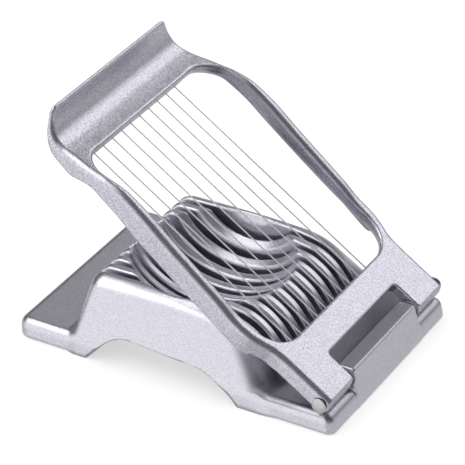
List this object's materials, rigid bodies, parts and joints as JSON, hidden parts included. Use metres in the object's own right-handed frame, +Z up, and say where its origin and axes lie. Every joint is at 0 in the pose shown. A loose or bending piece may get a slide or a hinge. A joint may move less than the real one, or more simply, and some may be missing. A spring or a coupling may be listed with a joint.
{
  "type": "egg slicer",
  "caption": "Hinged egg slicer in cast aluminium: a ribbed cradle on two feet, and a wire-strung frame with a scooped handle, held half open.",
  "frame": {"origin": "on the table, under the middle of the whole slicer (the middle of the base)", "axes": "+X towards the hinge, +Y across the width, +Z up; the handle is towards -X"},
  "size_m": [0.1226, 0.0898, 0.0912],
  "materials": {
    "cast_aluminium": "die-cast and silver lacquered: satin, with a fine metallic speckle",
    "wire_steel": "drawn stainless wire, bright",
    "ferrule_metal": "crimped tube, plain",
    "pin_steel": "polished pin with a domed head",
    "washer_polymer": "natural acetal, satin"
  },
  "bodies": {
    "base": {"base_casting": "cast_aluminium", "hinge_pin_left": "pin_steel", "hinge_pin_right": "pin_steel", "hinge_washer_left": "washer_polymer", "hinge_washer_right": "washer_polymer"},
    "frame": {"cutting_frame": "cast_aluminium", "cutting_wire_01": "wire_steel", "cutting_wire_02": "wire_steel", "cutting_wire_03": "wire_steel", "cutting_wire_04": "wire_steel", "cutting_wire_05": "wire_steel", "cutting_wire_06": "wire_steel", "cutting_wire_07": "wire_steel", "cutting_wire_08": "wire_steel", "cutting_wire_09": "wire_steel", "cutting_wire_10": "wire_steel", "hinge_end_ferrule_01": "ferrule_metal", "hinge_end_ferrule_02": "ferrule_metal", "hinge_end_ferrule_03": "ferrule_metal", "hinge_end_ferrule_04": "ferrule_metal", "hinge_end_ferrule_05": "ferrule_metal", "hinge_end_ferrule_06": "ferrule_metal", "hinge_end_ferrule_07": "ferrule_metal", "hinge_end_ferrule_08": "ferrule_metal", "hinge_end_ferrule_09": "ferrule_metal", "hinge_end_ferrule_10": "ferrule_metal", "handle_end_ferrule_01": "ferrule_metal", "handle_end_ferrule_02": "ferrule_metal", "handle_end_ferrule_03": "ferrule_metal", "handle_end_ferrule_04": "ferrule_metal", "handle_end_ferrule_05": "ferrule_metal", "handle_end_ferrule_06": "ferrule_metal", "handle_end_ferrule_07": "ferrule_metal", "handle_end_ferrule_08": "ferrule_metal", "handle_end_ferrule_09": "ferrule_metal", "handle_end_ferrule_10": "ferrule_metal"}
  },
  "joints": [
    {"name": "frame_hinge", "type": "hinge", "parent": "base", "child": "frame", "pos_m": [0.0561, 0, 0.01124], "axis": [0, 1, 0], "range_deg": [-33.8, 76.2]}
  ]
}
